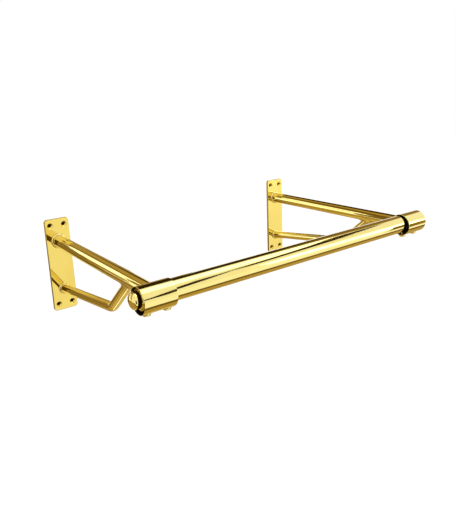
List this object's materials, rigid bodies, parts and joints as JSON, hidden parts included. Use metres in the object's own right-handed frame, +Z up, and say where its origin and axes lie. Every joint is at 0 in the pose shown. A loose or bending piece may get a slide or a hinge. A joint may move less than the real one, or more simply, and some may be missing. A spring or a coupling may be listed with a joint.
{
  "type": "wall-mounted clothes rail",
  "caption": "Polished brass clothes rail: a round rail held in screw-clamped sleeves on braced arms that stand out from flat wall plates.",
  "frame": {"origin": "on the wall plane, midway between the two wall plates and at half their height", "axes": "+X along the rail, +Y into the wall, +Z up"},
  "size_m": [0.5456, 0.3423, 0.155],
  "materials": {
    "plate_brass": "mirror polished",
    "tube_brass": "mirror polished",
    "rod_brass": "polished",
    "cap_brass": "mirror polished",
    "screw_brass": "turned",
    "bead_brass": "brazed and polished"
  },
  "bodies": {
    "brackets": {"left_wall_plate": "plate_brass", "left_arm_tube": "tube_brass", "left_brace_rod": "rod_brass", "left_arm_root_bead": "bead_brass", "left_brace_root_bead": "bead_brass", "left_brace_top_bead": "bead_brass", "left_sleeve_bead": "bead_brass", "left_rail_sleeve": "tube_brass", "left_inner_screw_boss": "bead_brass", "left_outer_screw_boss": "bead_brass", "right_wall_plate": "plate_brass", "right_arm_tube": "tube_brass", "right_brace_rod": "rod_brass", "right_arm_root_bead": "bead_brass", "right_brace_root_bead": "bead_brass", "right_brace_top_bead": "bead_brass", "right_sleeve_bead": "bead_brass", "right_rail_sleeve": "tube_brass", "right_inner_screw_boss": "bead_brass", "right_outer_screw_boss": "bead_brass"},
    "rail": {"rail_tube": "tube_brass", "left_end_cap": "cap_brass", "right_end_cap": "cap_brass"},
    "left_inner_screw": {"left_inner_grub_screw": "screw_brass"},
    "left_outer_screw": {"left_outer_grub_screw": "screw_brass"},
    "right_inner_screw": {"right_inner_grub_screw": "screw_brass"},
    "right_outer_screw": {"right_outer_grub_screw": "screw_brass"}
  },
  "joints": [
    {"name": "rail_slide", "type": "slide", "parent": "brackets", "child": "rail", "axis": [1, 0, 0], "range_m": [-0.03, 0.03]},
    {"name": "left_inner_screw_turn", "type": "hinge", "parent": "brackets", "child": "left_inner_screw", "pos_m": [-0.226, -0.325, 0.0405], "axis": [0, 0, 1], "range_deg": [-1080, 0]},
    {"name": "left_outer_screw_turn", "type": "hinge", "parent": "brackets", "child": "left_outer_screw", "pos_m": [-0.2535, -0.325, 0.0405], "axis": [0, 0, 1], "range_deg": [-1080, 0]},
    {"name": "right_inner_screw_turn", "type": "hinge", "parent": "brackets", "child": "right_inner_screw", "pos_m": [0.226, -0.325, 0.0405], "axis": [0, 0, 1], "range_deg": [-1080, 0]},
    {"name": "right_outer_screw_turn", "type": "hinge", "parent": "brackets", "child": "right_outer_screw", "pos_m": [0.2535, -0.325, 0.0405], "axis": [0, 0, 1], "range_deg": [-1080, 0]}
  ]
}
